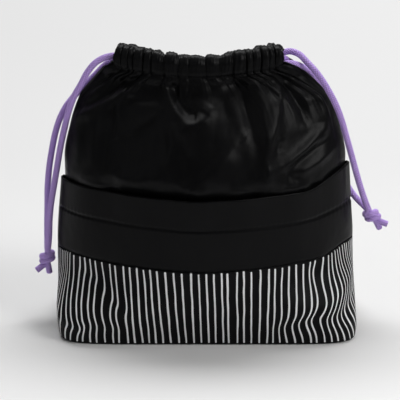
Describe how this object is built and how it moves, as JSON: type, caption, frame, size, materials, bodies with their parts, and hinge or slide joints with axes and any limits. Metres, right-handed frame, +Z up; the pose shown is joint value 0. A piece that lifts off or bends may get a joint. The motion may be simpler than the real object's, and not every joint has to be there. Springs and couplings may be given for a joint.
{
  "type": "toiletry bag",
  "caption": "Drawstring toiletry bag with a boxed base, a striped foot, an outer front pocket with a turned hem and a gathered mouth closed by a pair of knotted cords",
  "frame": {"origin": "middle of the bag's footprint on the surface it stands on, cords left out", "axes": "+Z up, -Y the front with the pocket, +X to the right seen from the front"},
  "size_m": [0.2959, 0.1429, 0.2305],
  "materials": {
    "black_satin": "black satin-weave nylon with a soft sheen",
    "striped_cloth": "black cloth printed with thin white upright stripes",
    "base_cloth": "black plain-weave cloth",
    "purple_cord": "braided purple cord"
  },
  "bodies": {
    "root": {"front_panel": "black_satin", "back_panel": "black_satin", "pocket_band": "black_satin", "pocket_stripe_panel": "striped_cloth", "back_stripe_panel": "striped_cloth", "base_panel": "base_cloth", "left_cord_front": "purple_cord", "left_cord_back": "purple_cord", "left_cord_in_casing": "purple_cord", "left_knot": "purple_cord", "right_cord_front": "purple_cord", "right_cord_back": "purple_cord", "right_cord_in_casing": "purple_cord", "right_knot": "purple_cord"}
  },
  "joints": []
}
